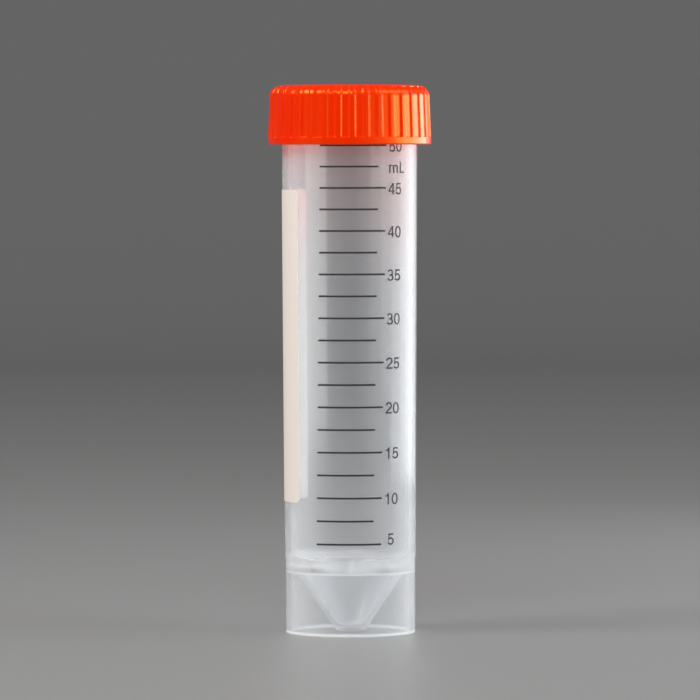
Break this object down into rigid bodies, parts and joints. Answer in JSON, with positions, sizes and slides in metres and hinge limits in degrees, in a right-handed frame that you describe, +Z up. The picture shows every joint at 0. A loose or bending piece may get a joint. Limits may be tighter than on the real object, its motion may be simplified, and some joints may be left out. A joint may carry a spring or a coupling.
{
  "type": "self-standing conical centrifuge tube with screw cap",
  "caption": "Self-standing 50 ml conical centrifuge tube in clear plastic with an orange ribbed screw cap, a printed volume scale and a white writing patch.",
  "frame": {"origin": "centre of the foot, on the tube's axis, in the plane that the skirt stands on", "axes": "+Z up along the tube's axis towards the cap; -Y is the front, where the volume scale is printed; +X is to the right seen from the front"},
  "size_m": [0.0346, 0.0346, 0.116],
  "materials": {
    "tube_plastic": "natural translucent polypropylene, smooth as moulded",
    "cap_plastic": "orange polyethylene, semi-gloss as moulded",
    "scale_ink": "black printing ink",
    "patch_ink": "white printing ink, dull for writing on"
  },
  "bodies": {
    "tube_body": {"tube": "tube_plastic", "scale_lines": "scale_ink", "writing_patch": "patch_ink"},
    "cap_body": {"screw_cap": "cap_plastic"}
  },
  "joints": [
    {"name": "cap_lift", "type": "slide", "parent": "tube_body", "child": "cap_body", "axis": [0, 0, 1], "range_m": [0, 0.016]}
  ]
}
